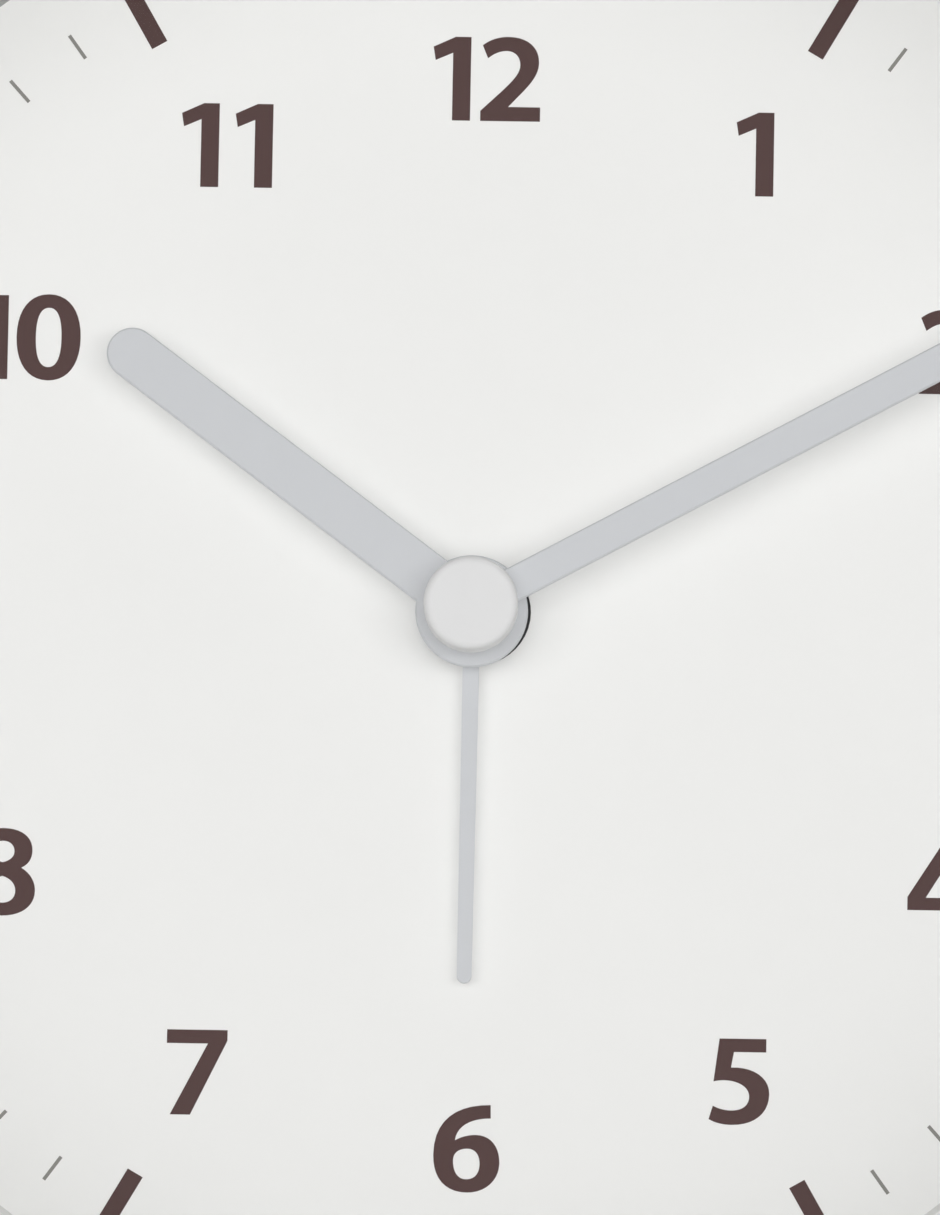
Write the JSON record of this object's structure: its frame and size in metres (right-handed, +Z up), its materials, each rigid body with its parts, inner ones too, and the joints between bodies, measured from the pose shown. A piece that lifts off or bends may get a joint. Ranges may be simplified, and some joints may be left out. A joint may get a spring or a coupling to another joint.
{
  "type": "table alarm clock",
  "caption": "Round table alarm clock on a low foot: white numbered dial, baton hands, alarm hand, glass front, snooze bar on top, setting knobs, alarm switch and battery door at the back.",
  "frame": {"origin": "middle of the underside of the sole, on the table", "axes": "+X to the right of the dial, -Y to the front, +Z up"},
  "size_m": [0.11, 0.0598, 0.1192],
  "materials": {
    "case_abs": "moulded satin",
    "ring_abs": "moulded matt",
    "lens_glass": "clear polished",
    "dial_lacquer": "matt white lacquer",
    "dial_ink": "screen printed",
    "hand_lacquer": "matt grey lacquer",
    "cap_abs": "moulded matt",
    "control_abs": "moulded satin",
    "sole_rubber": "matt",
    "screw_steel": "zinc plated",
    "movement_abs": "moulded",
    "gear_acetal": "moulded",
    "arbor_brass": "turned",
    "stator_iron": "punched sheet",
    "coil_copper": "enamelled wire",
    "magnet_ferrite": "sintered",
    "board_laminate": "solder mask",
    "chip_epoxy": "potted",
    "crystal_can": "drawn",
    "buzzer_brass": "rolled",
    "buzzer_ceramic": "silvered ceramic",
    "cell_jacket": "plain jacket",
    "contact_nickel": "nickel plated",
    "lead_red": "pvc",
    "lead_black": "pvc"
  },
  "bodies": {
    "case": {"bezel": "case_abs", "rear_case": "case_abs", "foot": "case_abs", "dial_ring": "ring_abs", "lens": "lens_glass", "dial": "dial_lacquer", "sole": "sole_rubber", "case_screws": "screw_steel", "foot_screws": "screw_steel", "movement_screws": "screw_steel", "board_screws": "screw_steel", "dial_carrier": "movement_abs", "movement_front": "movement_abs", "movement_cover": "movement_abs", "coil_bobbin": "movement_abs", "stator": "stator_iron", "coil_core": "stator_iron", "coil_winding": "coil_copper", "circuit_board": "board_laminate", "chip": "chip_epoxy", "crystal": "crystal_can", "buzzer_plate": "buzzer_brass", "buzzer_ceramic": "buzzer_ceramic", "battery_cell": "cell_jacket", "contact_positive": "contact_nickel", "contact_negative": "contact_nickel", "snooze_spring": "contact_nickel", "snooze_contact": "contact_nickel", "lead_positive": "lead_red", "lead_negative": "lead_black", "buzzer_leads": "lead_black"},
    "minute": {"minute_hand": "hand_lacquer", "hub_cap": "cap_abs", "minute_arbor": "arbor_brass", "centre_wheel": "gear_acetal"},
    "hour": {"hour_hand": "hand_lacquer", "hour_wheel": "gear_acetal"},
    "time_setter": {"motion_wheel": "gear_acetal", "time_knob": "control_abs"},
    "third": {"third_wheel": "gear_acetal"},
    "rotor": {"rotor_pinion": "gear_acetal", "rotor_magnet": "magnet_ferrite"},
    "alarm": {"alarm_hand": "hand_lacquer", "alarm_wheel": "gear_acetal"},
    "alarm_setter": {"alarm_pinion": "gear_acetal", "alarm_knob": "control_abs"},
    "snooze": {"snooze_button": "control_abs"},
    "alarm_switch": {"alarm_slider": "control_abs", "slider_wiper": "contact_nickel"},
    "door": {"battery_door": "case_abs"}
  },
  "joints": [
    {"name": "minute_turn", "type": "hinge", "parent": "case", "child": "minute", "pos_m": [0, -0.01, 0.06342], "axis": [0, 0.989, -0.1478], "continuous": true},
    {"name": "hour_turn", "type": "hinge", "parent": "case", "child": "hour", "pos_m": [0, -0.01, 0.06342], "axis": [0, 0.989, -0.1478], "continuous": true},
    {"name": "time_knob_turn", "type": "hinge", "parent": "case", "child": "time_setter", "pos_m": [0.01039, -0.01089, 0.05749], "axis": [0, 0.989, -0.1478], "continuous": true},
    {"name": "third_turn", "type": "hinge", "parent": "case", "child": "third", "pos_m": [0.00764, -0.00887, 0.07097], "axis": [0, 0.989, -0.1478], "continuous": true},
    {"name": "rotor_turn", "type": "hinge", "parent": "case", "child": "rotor", "pos_m": [0.00067, -0.00815, 0.0758], "axis": [0, 0.989, -0.1478], "continuous": true},
    {"name": "alarm_turn", "type": "hinge", "parent": "case", "child": "alarm", "pos_m": [0, -0.01, 0.06342], "axis": [0, 0.989, -0.1478], "continuous": true},
    {"name": "alarm_knob_turn", "type": "hinge", "parent": "case", "child": "alarm_setter", "pos_m": [-0.01039, -0.01089, 0.05749], "axis": [0, 0.989, -0.1478], "continuous": true},
    {"name": "snooze_press", "type": "slide", "parent": "case", "child": "snooze", "axis": [0, -0.1478, -0.989], "range_m": [0, 0.0012], "stiffness_N_per_m": 600, "deforming": ["snooze_spring"]},
    {"name": "alarm_switch_slide", "type": "slide", "parent": "case", "child": "alarm_switch", "axis": [1, 0, 0], "range_m": [0, 0.004]},
    {"name": "door_pull", "type": "slide", "parent": "case", "child": "door", "axis": [0, 0.989, -0.1478], "range_m": [0, 0.03]}
  ],
  "couplings": [
    {"joint": "hour_turn", "follows": "minute_turn", "ratio": 0.083333},
    {"joint": "time_knob_turn", "follows": "minute_turn", "ratio": -0.33333},
    {"joint": "third_turn", "follows": "minute_turn", "ratio": -8},
    {"joint": "rotor_turn", "follows": "minute_turn", "ratio": 60},
    {"joint": "alarm_knob_turn", "follows": "alarm_turn", "ratio": -1.5}
  ]
}
